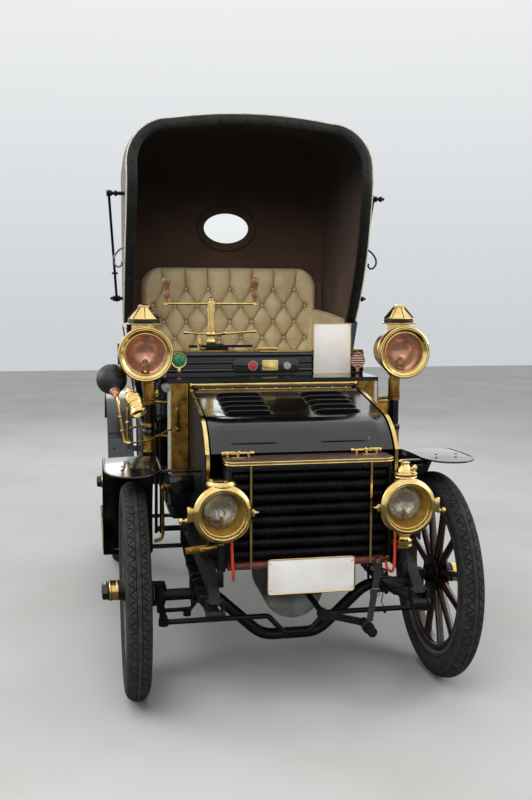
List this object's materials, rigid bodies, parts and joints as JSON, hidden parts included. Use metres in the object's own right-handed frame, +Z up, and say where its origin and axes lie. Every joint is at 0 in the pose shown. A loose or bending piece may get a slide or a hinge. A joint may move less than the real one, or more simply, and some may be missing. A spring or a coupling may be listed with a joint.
{
  "type": "brass era light car",
  "caption": "Open two-seat brass era car with a leather hood, handlebar steering, louvred bonnet lid and a gilled-tube radiator; the wheels roll and steer.",
  "frame": {"origin": "on the ground, in the middle of the car's length and width", "axes": "+Y towards the rear, +X the car's left, +Z up"},
  "size_m": [1.444, 2.7748, 2.3637],
  "materials": {
    "coach_paint": "gloss black coach paint",
    "chassis_paint": "satin black paint",
    "brass": "polished brass",
    "rubber_tyre": "matt black rubber",
    "black_rubber": "matt black rubber",
    "red_rubber": "satin red rubber",
    "wheel_wood": "varnished dark wood",
    "grip_wood": "polished turned wood",
    "buff_leather": "buttoned buff leather",
    "hood_leather": "black hood leather with a brown lining",
    "strap_leather": "dark strap leather",
    "board_leather": "dark brown varnished board",
    "bare_aluminium": "cast aluminium",
    "black_iron": "black painted iron",
    "bare_steel": "oiled steel",
    "white_enamel": "white enamelled sheet",
    "lamp_glass": "clear lamp glass"
  },
  "bodies": {
    "chassis": {"chassis_frame": "chassis_paint", "springs": "chassis_paint", "front_axle": "chassis_paint", "rear_axle": "chassis_paint", "steering_column": "brass", "engine": "bare_aluminium", "gearbox": "bare_aluminium", "propeller_shaft": "bare_steel", "exhaust": "black_iron", "radiator": "chassis_paint", "radiator_tank": "board_leather", "radiator_straps": "brass", "bonnet_sides": "coach_paint", "dashboard": "coach_paint", "dash_trim": "brass", "body_tub": "coach_paint", "seat_cushion": "buff_leather", "seat_back": "buff_leather", "seat_arms": "buff_leather", "hood_leather": "hood_leather", "hood_irons": "black_iron", "front_wings": "coach_paint", "rear_wings": "coach_paint", "running_boards": "black_rubber", "headlamps": "brass", "dash_lamps": "brass", "lamp_glasses": "lamp_glass", "horn": "brass", "horn_bulb": "black_rubber", "plates": "white_enamel", "hand_levers": "black_iron", "starting_handle": "black_iron", "handle_strap": "strap_leather", "bonnet_edging": "brass", "gas_hose_left": "red_rubber", "gas_hose_right": "red_rubber"},
    "knuckle_right": {"knuckle_right": "chassis_paint"},
    "knuckle_left": {"knuckle_left": "chassis_paint"},
    "front_wheel_right": {"wheel_front_right": "wheel_wood", "tyre_front_right": "rubber_tyre"},
    "front_wheel_left": {"wheel_front_left": "wheel_wood", "tyre_front_left": "rubber_tyre"},
    "rear_wheel_right": {"wheel_rear_right": "wheel_wood", "tyre_rear_right": "rubber_tyre"},
    "rear_wheel_left": {"wheel_rear_left": "wheel_wood", "tyre_rear_left": "rubber_tyre"},
    "track_rod": {"track_rod": "chassis_paint"},
    "drag_link": {"drag_link": "chassis_paint"},
    "steering": {"handlebar": "brass", "handlebar_grips": "grip_wood"},
    "bonnet_lid": {"bonnet_lid": "coach_paint"}
  },
  "joints": [
    {"name": "steer_right", "type": "hinge", "parent": "chassis", "child": "knuckle_right", "pos_m": [-0.5, -0.885, 0.384], "axis": [0, 0, 1], "range_deg": [-22, 22]},
    {"name": "steer_left", "type": "hinge", "parent": "chassis", "child": "knuckle_left", "pos_m": [0.5, -0.885, 0.384], "axis": [0, 0, 1], "range_deg": [-22, 22]},
    {"name": "handlebar_turn", "type": "hinge", "parent": "chassis", "child": "steering", "pos_m": [-0.207, -0.135, 1.4], "axis": [0, 0, 1], "range_deg": [-22, 22]},
    {"name": "track_rod_swing", "type": "hinge", "parent": "knuckle_right", "child": "track_rod", "pos_m": [-0.5, -1.015, 0.316], "axis": [0, 0, 1], "range_deg": [-22, 22]},
    {"name": "drag_link_swing", "type": "hinge", "parent": "knuckle_right", "child": "drag_link", "pos_m": [-0.4, -0.885, 0.3], "axis": [0, 0, 1], "range_deg": [-22, 22]},
    {"name": "front_wheel_right_spin", "type": "hinge", "parent": "knuckle_right", "child": "front_wheel_right", "pos_m": [-0.598, -0.885, 0.405], "axis": [1, 0, 0], "continuous": true},
    {"name": "front_wheel_left_spin", "type": "hinge", "parent": "knuckle_left", "child": "front_wheel_left", "pos_m": [0.598, -0.885, 0.405], "axis": [1, 0, 0], "continuous": true},
    {"name": "rear_wheel_right_spin", "type": "hinge", "parent": "chassis", "child": "rear_wheel_right", "pos_m": [-0.598, 0.935, 0.455], "axis": [1, 0, 0], "continuous": true},
    {"name": "rear_wheel_left_spin", "type": "hinge", "parent": "chassis", "child": "rear_wheel_left", "pos_m": [0.598, 0.935, 0.455], "axis": [1, 0, 0], "continuous": true},
    {"name": "bonnet_lid_hinge", "type": "hinge", "parent": "chassis", "child": "bonnet_lid", "pos_m": [0, -0.573, 1.131], "axis": [-1, 0, 0], "range_deg": [0, 60]}
  ],
  "couplings": [
    {"joint": "steer_left", "follows": "steer_right", "ratio": 1},
    {"joint": "handlebar_turn", "follows": "steer_right", "ratio": 1},
    {"joint": "track_rod_swing", "follows": "steer_right", "ratio": -1},
    {"joint": "drag_link_swing", "follows": "steer_right", "ratio": -1}
  ]
}
